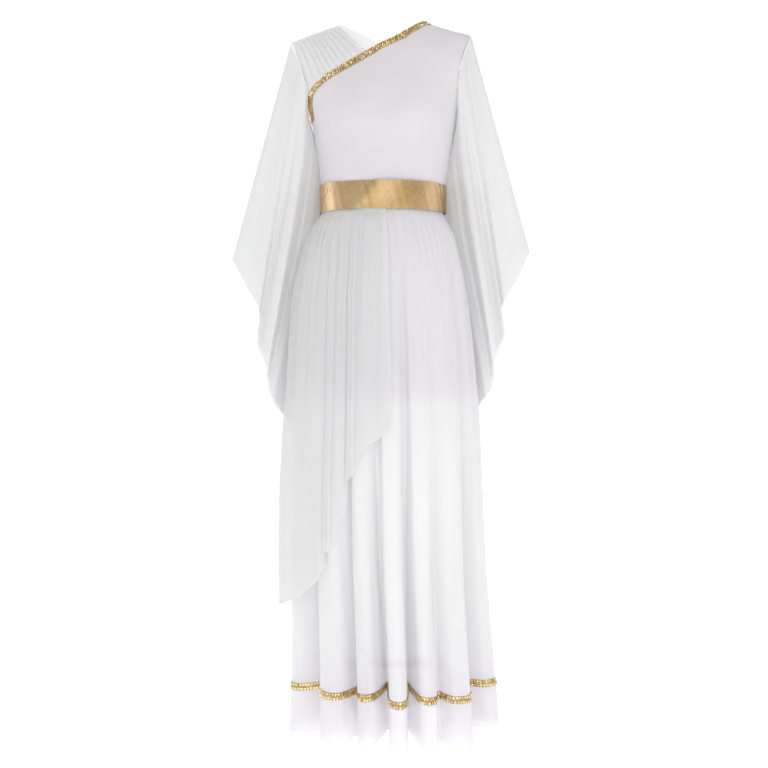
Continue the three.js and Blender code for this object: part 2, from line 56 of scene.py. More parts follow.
FORM = named_rows("height right left front back", [
    (30, -200, 200, 38, 34), (-20, -192, 192, 56, 58), (-80, -176, 176, 82, 82),
    (-140, -154, 154, 104, 93), (-188, -142, 144.5, 112, 94), (-228, -135, 137, 106, 90),
    (-270, -128.5, 130.5, 97, 86),
    (-313, -123.5, 123.5, 92.5, 86), (-345, -121, 121, 91, 86.5), (-368, -121.3, 121.3, 91.3, 86.8),
    (-388, -130, 130, 100, 99), (-411, -139, 143, 108, 110), (-440, -148, 153, 117, 121),
    (-484, -157, 165, 125, 132), (-540, -167, 174, 131, 140), (-614, -172, 183, 138, 146),
    (-700, -176, 190, 146, 152), (-816, -182, 198, 157, 160), (-932, -185, 204, 167, 168),
    (-1060, -186, 210, 177, 176), (-1180, -184.5, 219, 185, 184), (-1300, -185, 229, 192, 192),
    (-1397, -189, 236, 197, 198),
])
SHOULDER_LINE = named_rows("x height", [
    (-200, -34), (-183, -26), (-146, -11), (-88, 9), (0, 30), (84, 17), (98, 11), (175, -11), (200, -18),
])
NECKLINE = named_rows("height x", [
    (16.5, 79), (4, 63.5), (-12, 42), (-24, 25), (-36, 3.5), (-48, -17.5), (-62, -39), (-78, -66),
    (-94, -94), (-106, -115), (-118, -132), (-130, -143.5), (-140, -148.5), (-152, -149), (-170, -145.5),
    (-188, -142),
])
LEFT_EDGE = named_rows("height x", [
    (16.5, 86), (10.5, 98), (-3.5, 144), (-12, 174.5), (-30, 167), (-52, 159), (-88, 150), (-126, 146.5),
    (-160, 146.5), (-188, 144.5),
])
BODICE_HEIGHTS = named_rows("share height", [
    (0, 16.5), (0.2, -34), (0.4, -100), (0.6, -175), (0.8, -265), (1, -344.7),
])


def follow(rows, key, column, where):
    """Reads a table smoothly between its rows, and never past them."""
    x, y = rows[key], rows[column]
    if x[0] > x[-1]:
        x, y = x[::-1], y[::-1]
    gaps = np.diff(x)
    rise = np.diff(y) / gaps
    slope = np.zeros(len(x))
    inner = rise[:-1] * rise[1:]
    total = rise[:-1] + rise[1:]
    slope[1:-1] = np.where(inner > 0, 2 * inner / np.where(inner > 0, total, 1), 0)
    where = np.clip(where, x[0], x[-1])
    i = np.clip(np.searchsorted(x, where, side="right") - 1, 0, len(x) - 2)
    t = (where - x[i]) / gaps[i]
    return (y[i] * (1 + 2 * t) * (1 - t) ** 2 + y[i + 1] * t * t * (3 - 2 * t)
            + gaps[i] * slope[i] * t * (1 - t) ** 2 - gaps[i] * slope[i + 1] * t * t * (1 - t))


def smooth(value, low, high):
    """Rises gently from 0 at low to 1 at high."""
    t = np.clip((value - low) / (high - low), 0, 1)
    return t * t * (3 - 2 * t)


def form_at(height):
    """The gown's middle, half width, front depth and back depth at a height."""
    right, left = follow(FORM, "height", "right", height), follow(FORM, "height", "left", height)
    front, back = follow(FORM, "height", "front", height), follow(FORM, "height", "back", height)
    return (right + left) / 2, (left - right) / 2, front, back


def form_point(degrees, height, inwards=0.0):
    """A point of the form: 0 degrees is the middle of the front and 90 the wearer's left."""
    middle, half, front, back = form_at(height)
    turn = np.radians(degrees)
    depth = np.where(np.cos(turn) > 0, front, back)
    return np.stack([middle + (half - inwards) * np.sin(turn), -(depth - inwards) * np.cos(turn),
                     height + 0 * turn], -1)


def body_point(x, height, side):
    """A point of the bodice, rounded over to the shoulder line and filled out at the bust."""
    middle, half, front, back = form_at(height)
    across = np.minimum(np.abs((x - middle) / half), 1)
    drop = np.clip((follow(SHOULDER_LINE, "x", "height", x) - height) / SHOULDER_ROLL, 0, 1)
    roll = np.sqrt(np.maximum(1 - (1 - drop) ** 2, 0))
    depth = back
    if side == "front":
        level = ((height - BUST["height"]) / BUST["length"]) ** 2
        sides = (-BUST["x"], BUST["x"])
        swell = sum(np.exp(-(((x - at) / BUST["width"]) ** 2) - level) for at in sides)
        depth = front + BUST["swell"] * swell
    y = FACING[side] * depth * np.sqrt(1 - across ** 2) * roll
    return np.stack([x + 0 * y, y, height + 0 * y], -1)


def across_body(u, height, right_edge, left_edge, side):
    """Goes round the form from the right edge at u 0 to the left edge at u 1."""
    middle, half = form_at(height)[:2]
    start = np.arcsin(np.clip((right_edge - middle) / half, -1, 1))
    end = np.arcsin(np.clip((left_edge - middle) / half, -1, 1))
    return body_point(middle + half * np.sin(start + (end - start) * u), height, side)


def bodice_edges(height):
    """The right edge of the cloth, how far the neck braid covers it, and its left edge."""
    middle, half = form_at(height)[:2]
    below = height < UNDERARM
    right = np.where(below, middle - half, follow(NECKLINE, "height", "x", height))
    left = np.where(below, middle + half, follow(LEFT_EDGE, "height", "x", height))
    slant = (follow(NECKLINE, "height", "x", height + 2) - follow(NECKLINE, "height", "x", height - 2)) / 4
    neck, underarm = BRAID_WIDTH["neck"], BRAID_WIDTH["underarm"]
    width = neck + (underarm - neck) * smooth(-height, 120, -UNDERARM)
    return right, right + np.minimum(width * np.hypot(1, slant), 0.8 * (left - right)), left


def meet_at_shoulder(points, side):
    """Draws the front and the back together into the seam along the wearer's left shoulder."""
    start, end = SHOULDER_SEAM["start"], SHOULDER_SEAM["end"]
    below = follow(SHOULDER_LINE, "x", "height", points[..., 0]) - points[..., 2]
    held = np.maximum(np.abs(points[..., 1]) * smooth(below, start, end), SHOULDER_SEAM["off"])
    at_seam = (points[..., 2] > SHOULDER_SEAM["above"]) & (below < end)
    points[..., 1] = np.where(at_seam, FACING[side] * held, points[..., 1])
    return points


def bodice_point(u, height, side):
    """u runs from -1 to 0 under the neck braid and from 0 to 1 over the rest."""
    right, braid, left = bodice_edges(height)
    under = across_body(u + 1, height, right, braid, side)
    plain = across_body(u, height, braid, left, side)
    return meet_at_shoulder(np.where((u < 0)[..., None], under, plain), side)


def grid_normals(points):
    """Which way the cloth faces at each point of a grid whose rows run down it."""
    facing = np.cross(np.gradient(points, axis=0), np.gradient(points, axis=1))
    return facing / np.maximum(np.linalg.norm(facing, axis=-1, keepdims=True), 1e-9)


def fold_depth(points):
    """How far each point lies down between the folds beside it: 0 on a crest, 1 from 2 mm down."""
    reach, deepest = 5, 2 * MM
    wide = np.pad(points, ((0, 0), (reach, reach), (0, 0)), mode="edge")
    mean = sum(wide[:, k:k + points.shape[1]] for k in range(2 * reach + 1)) / (2 * reach + 1)
    down = -((points - mean) * grid_normals(points)).sum(-1) / deepest
    down[:, :reach] = down[:, -reach:] = 0
    return np.clip(down, 0, 1)


def lay_cloth(name, across, down, place, thick, hem=None, hem_rows=0, closed=False, shade_in_folds=0.0):
    """A flat grid of cloth, each point of it carried to its place on the gown, then made as
    thick as the cloth is behind its face. Its UV map keeps the flat sizes in metres, and its
    attribute "fold", how deep each point lies in a fold times the strength given, sets how much
    painted shade the material lays in the folds. closed sews the two sides together."""
    bpy.ops.object.select_all(action="DESELECT")
    bpy.ops.mesh.primitive_grid_add(x_subdivisions=across, y_subdivisions=down, size=2)
    cloth = bpy.context.object
    cloth.name = cloth.data.name = name
    mesh = cloth.data
    flat = np.empty(3 * len(mesh.vertices))
    mesh.vertices.foreach_get("co", flat)
    flat = flat.reshape(-1, 3)
    column = np.rint((flat[:, 0] + 1) / 2 * across).astype(int)
    row = np.rint((1 - flat[:, 1]) / 2 * down).astype(int)
    u, v = np.meshgrid(np.linspace(0, 1, across + 1), np.linspace(0, 1, down + 1))
    points = place(u, v) * MM
    mesh.vertices.foreach_set("co", points[row, column].ravel())
    run = np.zeros(u.shape)
    run[:, 1:] = np.linalg.norm(np.diff(points, axis=1), axis=2).cumsum(axis=1)
    fall = np.zeros(u.shape)
    fall[1:] = np.linalg.norm(np.diff(points, axis=0), axis=2).cumsum(axis=0)
    run -= run[:, [across // 2]]
    corner = np.empty(len(mesh.loops), int)
    mesh.loops.foreach_get("vertex_index", corner)
    cut = np.stack([run, fall], -1)[row[corner], column[corner]]
    mesh.uv_layers.active.data.foreach_set("uv", cut.ravel())
    fold = mesh.attributes.new("fold", "FLOAT", "POINT")
    fold.data.foreach_set("value", (shade_in_folds * fold_depth(points))[row, column].ravel())
    turned = cloth.vertex_groups.new(name="hem")
    at_hem = [int(k) for k in np.flatnonzero(row > down - hem_rows)] if hem_rows else []
    if at_hem:
        turned.add(at_hem, 1, "REPLACE")
    if closed:
        bpy.ops.object.mode_set(mode="EDIT")
        bpy.ops.mesh.select_all(action="SELECT")
        bpy.ops.mesh.remove_doubles(threshold=1e-6)
        bpy.ops.object.mode_set(mode="OBJECT")
    wall = cloth.modifiers.new("thickness", "SOLIDIFY")
    wall.offset = -1
    wall.thickness = (hem or thick) * MM
    wall.vertex_group = "hem"
    wall.thickness_vertex_group = thick / (hem or thick)
    bpy.ops.object.modifier_apply(modifier=wall.name)
    bpy.ops.object.shade_smooth_by_angle(angle=math.radians(50))
    return cloth


def attach(piece, finish, *nodes):
    """Every piece rides on the one body and stands for its solid, which is hidden. finish is not used."""
    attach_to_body(piece, "root")
    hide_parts(*nodes)
    return piece


def finish_piece(piece, material, finish, *nodes):
    piece.data.materials.append(material)
    return attach(piece, finish, *nodes)


def new_material(name):
    material = bpy.data.materials.new(name)
    material.use_nodes = True
    nodes, links = material.node_tree.nodes, material.node_tree.links
    return material, nodes, links, nodes["Principled BSDF"]


def set_inputs(node, values):
    for name, value in values.items():
        node.inputs[name].default_value = value
    return node


WAVE_PERIOD = 0.314
THREAD_RELIEF = 0.3 * MM
CRINKLE_RELIEF = 0.8 * MM
# The grey that the colour is darkened towards down in the folds: painted shade.
PAINTED_FOLD_SHADE = (0.3, 0.3, 0.31, 1)


def vary_roughness(nodes, links, noise, surface, middle, change):
    """The surface is duller and glossier by the noise, so far to each side of the middle."""
    limits = {"To Min": middle - change, "To Max": middle + change}
    rough = set_inputs(nodes.new("ShaderNodeMapRange"), limits)
    links.new(noise.outputs["Fac"], rough.inputs["Value"])
    links.new(rough.outputs["Result"], surface.inputs["Roughness"])


def woven(name, colour, thread, bump, mottle, roughness, sheen, alpha=1.0, crinkle=0.0, low_tint=None,
          painted_fold_shade=0.0):
    """White cloth: threads that cross at right angles in its own flat sizes, a faint unevenness of
    the dye, a soft sheen, painted shade down in its folds, and if asked another tint below a height."""
    material, nodes, links, surface = new_material(name)
    flat = nodes.new("ShaderNodeUVMap")
    flat.uv_map = "UVMap"
    weave = []
    for direction in ("X", "Y"):
        wave = nodes.new("ShaderNodeTexWave")
        wave.wave_type = "BANDS"
        wave.bands_direction = direction
        set_inputs(wave, {"Scale": WAVE_PERIOD / (thread * MM), "Distortion": 0.6, "Detail": 1})
        links.new(flat.outputs["UV"], wave.inputs["Vector"])
        weave.append(wave)
    over = nodes.new("ShaderNodeMath")
    over.operation = "MAXIMUM"
    links.new(weave[0].outputs["Fac"], over.inputs[0])
    links.new(weave[1].outputs["Fac"], over.inputs[1])
    cloud = set_inputs(nodes.new("ShaderNodeTexNoise"), {"Scale": 45, "Detail": 3})
    links.new(flat.outputs["UV"], cloud.inputs["Vector"])
    fine = set_inputs(nodes.new("ShaderNodeTexNoise"), {"Scale": 420, "Detail": 2})
    links.new(flat.outputs["UV"], fine.inputs["Vector"])
    darker = (*[c * (1 - mottle) for c in colour], 1)
    shade = set_inputs(nodes.new("ShaderNodeMixRGB"), {"Color1": darker, "Color2": (*colour, 1)})
    links.new(cloud.outputs["Fac"], shade.inputs["Fac"])
    dyed = shade
    if low_tint:
        tint, start, full = low_tint
        place = nodes.new("ShaderNodeTexCoord")
        split = nodes.new("ShaderNodeSeparateXYZ")
        links.new(place.outputs["Object"], split.inputs["Vector"])
        low = set_inputs(nodes.new("ShaderNodeMapRange"), {"From Min": start, "From Max": full})
        links.new(split.outputs["Z"], low.inputs["Value"])
        dyed = set_inputs(nodes.new("ShaderNodeMixRGB"), {"Color2": (*tint, 1)})
        dyed.blend_type = "MULTIPLY"
        links.new(low.outputs["Result"], dyed.inputs["Fac"])
        links.new(shade.outputs["Color"], dyed.inputs["Color1"])
    # Painted shade: the colour darkens by the "fold" attribute, most down in the folds.
    folded = nodes.new("ShaderNodeAttribute")
    folded.attribute_name = "fold"
    deep = nodes.new("ShaderNodeMath")
    deep.operation = "MULTIPLY"
    deep.inputs[1].default_value = painted_fold_shade
    links.new(folded.outputs["Fac"], deep.inputs[0])
    shaded = set_inputs(nodes.new("ShaderNodeMixRGB"), {"Color2": PAINTED_FOLD_SHADE})
    shaded.blend_type = "MULTIPLY"
    links.new(deep.outputs["Value"], shaded.inputs["Fac"])
    links.new(dyed.outputs["Color"], shaded.inputs["Color1"])
    links.new(shaded.outputs["Color"], surface.inputs["Base Color"])
    vary_roughness(nodes, links, cloud, surface, roughness, 0.06)
    grain = set_inputs(nodes.new("ShaderNodeBump"), {"Strength": bump, "Distance": THREAD_RELIEF})
    links.new(over.outputs["Value"], grain.inputs["Height"])
    rumple = set_inputs(nodes.new("ShaderNodeBump"), {"Strength": crinkle, "Distance": CRINKLE_RELIEF})
    links.new(fine.outputs["Fac"], rumple.inputs["Height"])
    links.new(grain.outputs["Normal"], rumple.inputs["Normal"])
    links.new(rumple.outputs["Normal"], surface.inputs["Normal"])
    surface.inputs["Sheen Weight"].default_value = sheen
    surface.inputs["Sheen Roughness"].default_value = 0.5
    surface.inputs["Specular IOR Level"].default_value = 0.25
    surface.inputs["Alpha"].default_value = alpha
    return material


jersey = woven("white_jersey", (0.65, 0.62, 0.642), 0.7, 0.25, 0.03, 0.72, 0.2, crinkle=0.12)

# Where the front sinks: between the fullness of the bust, under each side of it and below it, and in
# two soft drag lines at the underarms. Each is at x and a height, so wide, so high and so deep.
BUST_HOLLOWS = (
    (2, -176, 26, 46, 4.0), (-72, -226, 44, 20, 4.4), (74, -226, 44, 20, 4.4), (0, -262, 70, 30, 1.6),
    (-112, -150, 16, 22, 1.6), (116, -150, 16, 24, 1.6),
)


def bodice_place(side):
    def place(u, v):
        if side == "back":
            u = 1 - u
        height = follow(BODICE_HEIGHTS, "share", "height", v)
        under, plain = u / UNDER_BRAID - 1, (u - UNDER_BRAID) / (1 - UNDER_BRAID)
        points = bodice_point(np.where(u < UNDER_BRAID, under, plain), height, side)
        if side == "front":
            x, z = points[..., 0], points[..., 2]
            for at, level, wide, high, deep in BUST_HOLLOWS:
                points[..., 1] += deep * np.exp(-((x - at) / wide) ** 2 - ((z - level) / high) ** 2)
        return points
    return place


for side in FACING:
    panel = lay_cloth(f"bodice_{side}_jersey", 84, 96, bodice_place(side), 1.0)
    finish_piece(panel, jersey, "jersey", f"bodice_{side}")

# Neckline trim: a braid of gold sequins and beads on a narrow tape, sewn along the slanted neck
# of the bodice. It narrows where it turns under the wearer's right arm.
TAPE = 0.5
TAPE_GAP = 0.3
BRAID_TOP = 16.3
BRAID_ROWS = (-0.86, -0.58, -0.31, -0.08)
BEAD_ROW = 3
BEAD_PITCH = 3.4
SEQUIN_PITCH = 4.5
FOIL_RELIEF = 0.4 * MM
STREAK_SHARE = 0.45


def gold(name, colour, dark, speck, stretch, roughness, bump, patch=9.0, source="Object"):
    """Metal foil: fine streaks in its surface, stretched one way, and large darker patches that are
    partly rubbed foil and partly painted shade for dark reflections. Both set its colour, and the streaks
    its gloss and relief."""
    material, nodes, links, surface = new_material(name)
    place = nodes.new("ShaderNodeTexCoord")
    drawn = set_inputs(nodes.new("ShaderNodeMapping"), {"Scale": (1, stretch, 1)})
    links.new(place.outputs[source], drawn.inputs["Vector"])
    streaks = set_inputs(nodes.new("ShaderNodeTexNoise"), {"Scale": speck, "Detail": 3})
    links.new(drawn.outputs["Vector"], streaks.inputs["Vector"])
    # Large patches that darken the colour: partly rubbed foil, partly painted shade for dark reflections.
    rub_and_shade_patches = set_inputs(nodes.new("ShaderNodeTexNoise"), {"Scale": patch, "Detail": 2})
    links.new(place.outputs["Object"], rub_and_shade_patches.inputs["Vector"])
    both = nodes.new("ShaderNodeMath")
    both.operation = "MULTIPLY_ADD"
    both.inputs[1].default_value = STREAK_SHARE
    links.new(streaks.outputs["Fac"], both.inputs[0])
    part = nodes.new("ShaderNodeMath")
    part.operation = "MULTIPLY"
    part.inputs[1].default_value = 1 - STREAK_SHARE
    links.new(rub_and_shade_patches.outputs["Fac"], part.inputs[0])
    links.new(part.outputs["Value"], both.inputs[2])
    ramp = nodes.new("ShaderNodeValToRGB")
    for stop, position, tone in zip(ramp.color_ramp.elements, (0.4, 0.6), (dark, colour)):
        stop.position = position
        stop.color = (*tone, 1)
    links.new(both.outputs["Value"], ramp.inputs["Fac"])
    links.new(ramp.outputs["Color"], surface.inputs["Base Color"])
    surface.inputs["Metallic"].default_value = 1
    vary_roughness(nodes, links, streaks, surface, roughness, 0.08)
    relief = set_inputs(nodes.new("ShaderNodeBump"), {"Strength": bump, "Distance": FOIL_RELIEF})
    links.new(streaks.outputs["Fac"], relief.inputs["Height"])
    links.new(relief.outputs["Normal"], surface.inputs["Normal"])
    return material


sequin_gold = gold("sequin_gold", (1.0, 0.87, 0.55), (0.80, 0.61, 0.30), 300, 1, 0.40, 0.1, patch=160)
braid_tape = gold("braid_tape", (0.50, 0.36, 0.15), (0.34, 0.23, 0.09), 900, 1, 0.5, 0.2, patch=60)


def surface_frame(place, u, v, step=0.002):
    """Points of a surface with the directions across it, down it and out of it."""
    points = place(u, v)
    across = place(u + step, v) - place(u - step, v)
    down = place(u, v + step) - place(u, v - step)
    out = np.cross(down, across)
    out /= np.linalg.norm(out, axis=-1, keepdims=True)
    across /= np.linalg.norm(across, axis=-1, keepdims=True)
    return points, across, np.cross(across, out), out


def model_sequin(width):
    """One faceted cup sequin with eight sides, a rim and a sunk middle."""
    bpy.ops.object.select_all(action="DESELECT")
    bpy.ops.mesh.primitive_cylinder_add(vertices=8, radius=width / 2, depth=0.5, end_fill_type="TRIFAN")
    sequin = bpy.context.object
    for vertex in sequin.data.vertices:
        if math.hypot(vertex.co.x, vertex.co.y) < width / 8:
            vertex.co.z -= 0.35 if vertex.co.z > 0 else 0.1
    return shape_of(sequin)


def model_bead(width):
    """One small round bead with flat facets."""
    bpy.ops.object.select_all(action="DESELECT")
    bpy.ops.mesh.primitive_ico_sphere_add(subdivisions=1, radius=width / 2)
    return shape_of(bpy.context.object)


def shape_of(model):
    """The points and triangles of a small thing that is sewn on many times. Its model goes."""
    mesh = model.data
    mesh.calc_loop_triangles()
    points = np.array([v.co[:] for v in mesh.vertices])
    triangles = np.array([t.vertices[:] for t in mesh.loop_triangles])
    bpy.data.objects.remove(model)
    return points, triangles


def sew_on(name, small, frames, lift, lean, seed):
    """Copies one small thing to every place of the frames, each with its own slight lean."""
    points, triangles = small
    at, across, down, out = [part.reshape(-1, 3) for part in frames]
    chance = np.random.default_rng(seed)
    tilt = chance.normal(0, lean, (len(at), 2))
    out = out + across * tilt[:, :1] + down * tilt[:, 1:]
    out /= np.linalg.norm(out, axis=1, keepdims=True)
    across = across - out * (across * out).sum(1, keepdims=True)
    across /= np.linalg.norm(across, axis=1, keepdims=True)
    up = np.cross(out, across)
    placed = (at[:, None] + out[:, None] * lift + points[None, :, :1] * across[:, None]
              + points[None, :, 1:2] * up[:, None] + points[None, :, 2:] * out[:, None])
    corners = triangles[None] + (np.arange(len(at)) * len(points))[:, None, None]
    mesh = bpy.data.meshes.new(name)
    mesh.from_pydata((placed.reshape(-1, 3) * MM).tolist(), [], corners.reshape(-1, 3).tolist())
    sewn = bpy.data.objects.new(name, mesh)
    bpy.context.scene.collection.objects.link(sewn)
    return sewn


def join(name, parts):
    """Makes the tape and what is sewn on it one piece."""
    bpy.ops.object.select_all(action="DESELECT")
    for part in parts:
        part.select_set(True)
    bpy.context.view_layer.objects.active = parts[0]
    bpy.ops.object.join()
    parts[0].name = parts[0].data.name = name
    return parts[0]


def length_along(line):
    """How far along a line of points each of them is."""
    return np.concatenate([[0], np.linalg.norm(np.diff(line, axis=0), axis=1).cumsum()])


def sewn_apart(line, share, pitch):
    """The shares of the line at which things sewn a pitch apart fall."""
    length = length_along(line)
    count = int(length[-1] / pitch)
    return np.interp((np.arange(count) + 0.5) * length[-1] / count, length, share)


neck_sequin = model_sequin(3.5)
neck_bead = model_bead(2.3)


def braid_place(side, out):
    """Places on the bodice's edge, so far out from it; u runs from -1 at the neck to 0."""
    def place(u, v):
        if side == "back":
            u = -1 - u
        height = BRAID_TOP + (UNDERARM + 0.4 - BRAID_TOP) * v
        points = bodice_point(u, height, side)
        lower = bodice_point(u, height - 0.5, side)
        beside = bodice_point(np.minimum(u + 0.02, -0.001), height, side)
        before = bodice_point(np.minimum(u, -0.001) - 0.02, height, side)
        facing = np.cross(lower - points, beside - before)
        facing /= -FACING[side] * np.maximum(np.linalg.norm(facing, axis=-1, keepdims=True), 1e-9)
        return points + facing * out
    return place


for side in FACING:
    place = braid_place(side, TAPE_GAP + TAPE)
    tape = lay_cloth(f"neck_tape_{side}", 6, 120, lambda u, v: place(u - 1, v), TAPE)
    sewn = [tape]
    for k, u in enumerate(BRAID_ROWS):
        small, pitch = (neck_bead, BEAD_PITCH) if k == BEAD_ROW else (neck_sequin, SEQUIN_PITCH)
        v = np.linspace(0.004 + 0.003 * (k % 2), 0.996, 1500)
        v = sewn_apart(place(np.full_like(v, u), v), v, pitch)
        frames = surface_frame(place, np.full_like(v, u), v)
        sewn.append(sew_on(f"neck_row_{side}_{k}", small, frames, lift=0.7, lean=0.42, seed=10 + k))
    tape.data.materials.append(braid_tape)
    for row in sewn[1:]:
        row.data.materials.append(sequin_gold)
    braid = join(f"neckline_braid_{side}", sewn)
    attach(braid, "gold_braid", f"neckline_trim_{side}")

# Shoulder drape: fine pleats of white chiffon over the wearer's right shoulder, caught in the
# shoulder seam and spreading down to the neckline braid. The cloth is thin enough to see through.
# Painted shade: this is the same chiffon as the skirt's, a little darker in colour, for the drape, the
# overlay and the sleeves, which stand in more shade.
sheer = woven("sheer_chiffon", (0.82, 0.82, 0.826), 0.5, 0.2, 0.02, 0.8, 0.3, alpha=0.42, crinkle=0.1,
              painted_fold_shade=0.7)
DRAPE_TOP = {"arm": -182, "neck": -88}
DRAPE_FOOT = named_rows("u height", [
    (0, -136), (0.18, -112), (0.39, -97), (0.62, -81), (0.85, -61), (1, -43),
])
PLEATS = 10
PLEATED = {"start": 0.04, "end": 0.9}
PLEAT_CREST = 0.72
PLEAT_LIFT = 2.6


def drape_place(side):
    def place(u, v):
        if side == "back":
            u = 1 - u
        top_x = DRAPE_TOP["arm"] + (DRAPE_TOP["neck"] - DRAPE_TOP["arm"]) * u
        top_z = follow(SHOULDER_LINE, "x", "height", top_x) - 0.3
        foot_z = follow(DRAPE_FOOT, "u", "height", u)
        foot_x = follow(NECKLINE, "height", "x", foot_z) - 1.2
        x = top_x + (foot_x - top_x) * v + 3 * np.sin(np.pi * v) * (1 - u) ** 3
        z = top_z + (foot_z + 1 - top_z) * v
        t = np.clip((u - PLEATED["start"]) / (PLEATED["end"] - PLEATED["start"]), 0, 1) * PLEATS
        part = t % 1
        fold = np.where(part < PLEAT_CREST, part / PLEAT_CREST, (1 - part) / (1 - PLEAT_CREST))
        fold = np.where((t <= 0) | (t >= PLEATS), 0, fold * fold * (3 - 2 * fold))
        lift = PLEAT_LIFT * fold * np.minimum(1, np.minimum(6 * v, 3 * (1 - v) + 0.3))
        point = body_point(x, z, side)
        point[..., 1] += FACING[side] * lift
        return point
    return place


for side in FACING:
    drape = lay_cloth(f"shoulder_drape_{side}_pleats", 160, 36, drape_place(side), 0.5, shade_in_folds=0.5)
    finish_piece(drape, sheer, "chiffon", f"shoulder_drape_{side}")

# Lining: a short plain under-layer of closer, slightly warmer cloth that hangs straight inside
# the skirt from the waist seam to the thigh.
lining_cloth = woven("lining_cloth", (0.76, 0.67, 0.74), 0.4, 0.15, 0.02, 0.8, 0.2)
WAIST = -345
LINING_FOOT = -740
LINING_INSIDE = 7.4
LINING_RIPPLE = 1.6
# How much cloth the gathers and the flutes take up at each height, and how far the flutes lift it.
FULLNESS = named_rows("height gather flute lift", [
    (-345, 1.2, 0, 0), (-368, 2, 0.5, 0), (-390, 3.3, 1, 0), (-425, 3.3, 2, 0), (-480, 2.2, 3.5, 0),
    (-560, 1.2, 6.5, 0), (-660, 0.5, 10.5, 0), (-780, 0, 18, 1), (-920, 0, 34, 3), (-1070, 0, 56, 7),
    (-1200, 0, 74, 13), (-1300, 0, 86, 18), (-1314, 0, 87.5, 18.5), (-1397, 0, 95, 22),
])


def lining_place(side):
    start = -90 if side == "front" else 90

    def place(u, v):
        degrees = start + 0.3 + 179.4 * u
        height = WAIST + (LINING_FOOT - WAIST) * v
        flute = follow(FULLNESS, "height", "flute", height)
        gather = follow(FULLNESS, "height", "gather", height)
        ripple = LINING_RIPPLE * smooth(v, 0.1, 0.7) * np.sin(np.radians(degrees) * 11 + 2 * v)
        return form_point(degrees, height, flute + gather + LINING_INSIDE + ripple)
    return place


for side in FACING:
    layer = lay_cloth(f"lining_{side}_cloth", 90, 40, lining_place(side), 0.6, 1.4, 2, shade_in_folds=0.3)
    finish_piece(layer, lining_cloth, "lining", f"lining_{side}")

# Skirt: a long front and back of gathered chiffon, sewn to the bodice under the belt. The fine
# gathers die out over the hips, and the cloth opens into deep round flutes at the hem.
soft_chiffon = woven("skirt_chiffon", (0.84, 0.84, 0.845), 0.5, 0.2, 0.02, 0.8, 0.3, alpha=0.54,
                     crinkle=0.1, low_tint=((0.99, 0.967, 1.0), -1.2, -1.3), painted_fold_shade=0.7)
BELT_BOTTOM = -368
HEM = -1397
# Where each flute stands out and where the cloth sinks beside it, how deep, and how much more its
# hem rises.
FLUTES = named_rows("crest valley depth rise", [
    (-78, -54, 1, 0.25), (-34, -24.5, 1, 0.45), (-15.5, -6, 1, 0.6), (3.5, 12, 1, -0.1),
    (19, 29, 0.4, 0.25), (43, 59, 1, 0), (76, 90, 1, 0.85), (106, 120, 0.9, 0.5),
    (133, 146, 1, 0.1), (158, 170, 0.8, 0.4), (182, 194.5, 1, 0), (207, 219.5, 0.9, 0.45),
    (232, 244, 1, 0.1), (256, 270, 1, 0.3),
])
# One flute from valley to valley: how much of its depth the cloth has at each share of the way.
FLUTE_SECTION = ((0.03, 1), (0.09, 0.58), (0.18, 0.13), (0.46, 0), (0.68, 0.14), (0.82, 0.54), (0.94, 1))


def flute_folds():
    """Round the whole skirt: how deep the fold is at each angle, and how far its hem rises."""
    rows = [(-90, 1, 0)]
    crest, valley, depth, rise = [FLUTES[name] for name in ("crest", "valley", "depth", "rise")]
    for k in range(len(crest)):
        start = valley[k - 1] - (360 if k == 0 else 0)
        for place, share in FLUTE_SECTION:
            rising = place <= 0.5
            degrees = (start + (crest[k] - start) * place * 2 if rising
                       else crest[k] + (valley[k] - crest[k]) * (place * 2 - 1))
            full = share * (depth[k - 1] if rising else depth[k])
            rows.append((degrees, full, rise[k] * (1 - share)))
    rows.append((270, 1, 0))
    return named_rows("degrees depth rise", rows)


FOLDS = flute_folds()
chance = np.random.default_rng(7)


def gather_row(narrow, broad, shallow, deep, short, long):
    """Folds side by side round the waist, each with its own width, depth and length."""
    folds, at = [], -90.0
    while at < 270:
        wide = chance.uniform(narrow, broad)
        folds.append((at + wide / 2, wide, chance.uniform(shallow, deep), chance.uniform(short, long)))
        at += wide
    return folds


LONG_GATHERS = gather_row(4.6, 8.4, 0.5, 1.3, 60, 340)
SHORT_GATHERS = gather_row(2.4, 4.0, 0.2, 0.55, 14, 60)
GATHERS_FADE = -560
GATHERS_SINK = 1.2


def gathers(degrees, height):
    """Soft ridges that start under the belt and die out down the cloth, each by its own length."""
    total = np.zeros(np.broadcast(degrees, height).shape)
    below = BELT_BOTTOM - height
    for centre, wide, deep, long in LONG_GATHERS + SHORT_GATHERS:
        near = (degrees - centre + 180) % 360 - 180
        total += deep * np.exp(-(near / (0.36 * wide)) ** 2) * (1 - smooth(below, 0.3 * long, long + 50))
    return total


